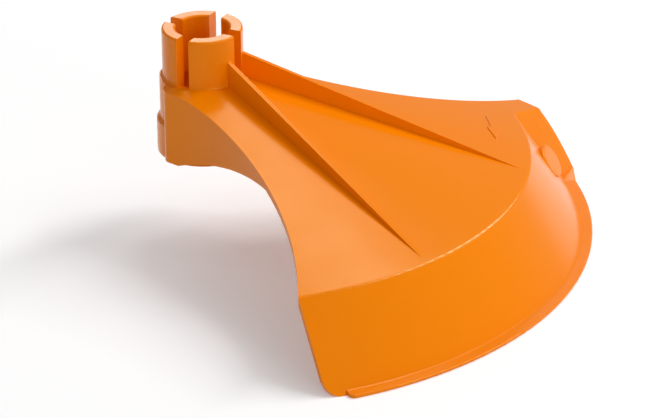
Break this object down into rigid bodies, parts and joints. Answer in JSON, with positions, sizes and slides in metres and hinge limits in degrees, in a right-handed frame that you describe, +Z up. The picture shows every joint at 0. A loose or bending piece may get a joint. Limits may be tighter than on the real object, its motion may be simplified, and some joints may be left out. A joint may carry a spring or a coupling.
{
  "type": "trimmer guard",
  "caption": "Fan-shaped moulded guard with a slotted clamp collar, ribbed sloping deck and curved skirt that shields the user from a grass trimmer's cutting line.",
  "frame": {"origin": "on the collar's axis at the collar's foot, where it meets the deck", "axes": "+Z up along the collar's axis, +X along the middle of the fan, +Y towards the end with the blade seat"},
  "size_m": [0.2433, 0.3033, 0.1227],
  "materials": {
    "guard_plastic": "satin moulded"
  },
  "bodies": {
    "root": {"guard": "guard_plastic"}
  },
  "joints": []
}
